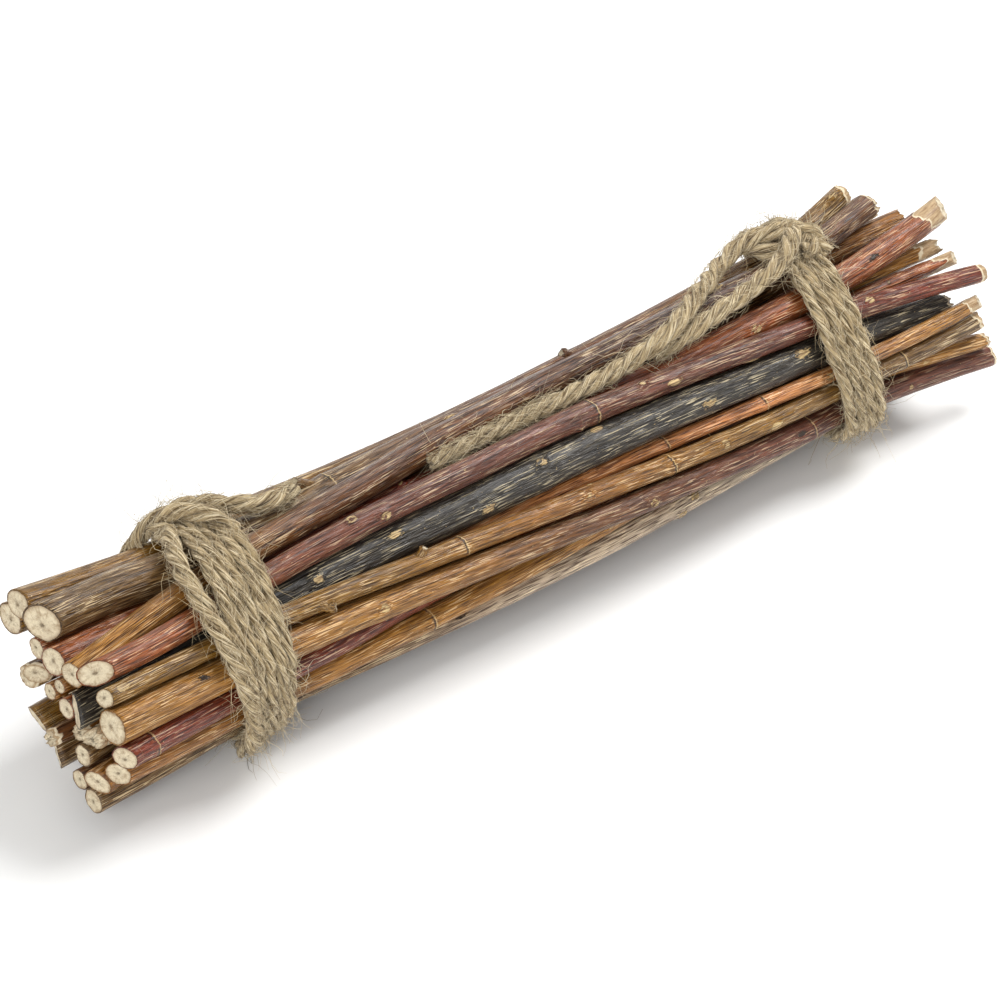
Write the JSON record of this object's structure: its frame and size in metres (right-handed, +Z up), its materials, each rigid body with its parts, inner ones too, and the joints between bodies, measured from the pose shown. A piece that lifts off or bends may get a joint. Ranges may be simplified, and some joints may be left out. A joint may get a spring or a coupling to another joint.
{
  "type": "bundle of twigs",
  "caption": "Bundle of cut twigs with bark on, lying on its side, bound near each end with several turns of knotted jute twine whose loose ends lie along the twigs.",
  "frame": {"origin": "under the middle of the bundle, on the surface it rests on", "axes": "+X along the bundle, +Z up"},
  "size_m": [0.2104, 0.0452, 0.0468],
  "materials": {
    "bark_tan": "tan twig bark, satin, with fine wrinkles along the twig; pale cut wood on the ends",
    "bark_olive": "olive twig bark, satin, with fine wrinkles along the twig; pale cut wood on the ends",
    "bark_red": "red twig bark, satin, with fine wrinkles along the twig; pale cut wood on the ends",
    "bark_brown": "brown twig bark, satin, with fine wrinkles along the twig; pale cut wood on the ends",
    "bark_grey": "grey twig bark, satin, with fine wrinkles along the twig; pale cut wood on the ends",
    "bark_black": "black twig bark, satin, with fine wrinkles along the twig; pale cut wood on the ends",
    "jute": "three-ply twisted jute twine, dry and hairy"
  },
  "bodies": {
    "root": {"twig_01": "bark_grey", "twig_02": "bark_olive", "twig_03": "bark_olive", "twig_04": "bark_red", "twig_05": "bark_brown", "twig_06": "bark_red", "twig_07": "bark_black", "twig_08": "bark_olive", "twig_09": "bark_red", "twig_10": "bark_tan", "twig_11": "bark_red", "twig_12": "bark_tan", "twig_13": "bark_grey", "twig_14": "bark_tan", "twig_15": "bark_olive", "twig_16": "bark_brown", "twig_17": "bark_tan", "twig_18": "bark_red", "twig_19": "bark_olive", "twig_20": "bark_brown", "twig_21": "bark_grey", "twig_22": "bark_tan", "twig_23": "bark_tan", "twig_24": "bark_olive", "twig_25": "bark_brown", "twig_26": "bark_tan", "twig_27": "bark_brown", "twig_28": "bark_tan", "twig_29": "bark_olive", "twig_30": "bark_brown", "twig_31": "bark_grey", "twig_32": "bark_tan", "twig_33": "bark_brown", "twig_34": "bark_olive", "twine_left": "jute", "twine_right": "jute", "tail_left": "jute", "tail_right_long": "jute", "tail_right_short": "jute"}
  },
  "joints": []
}
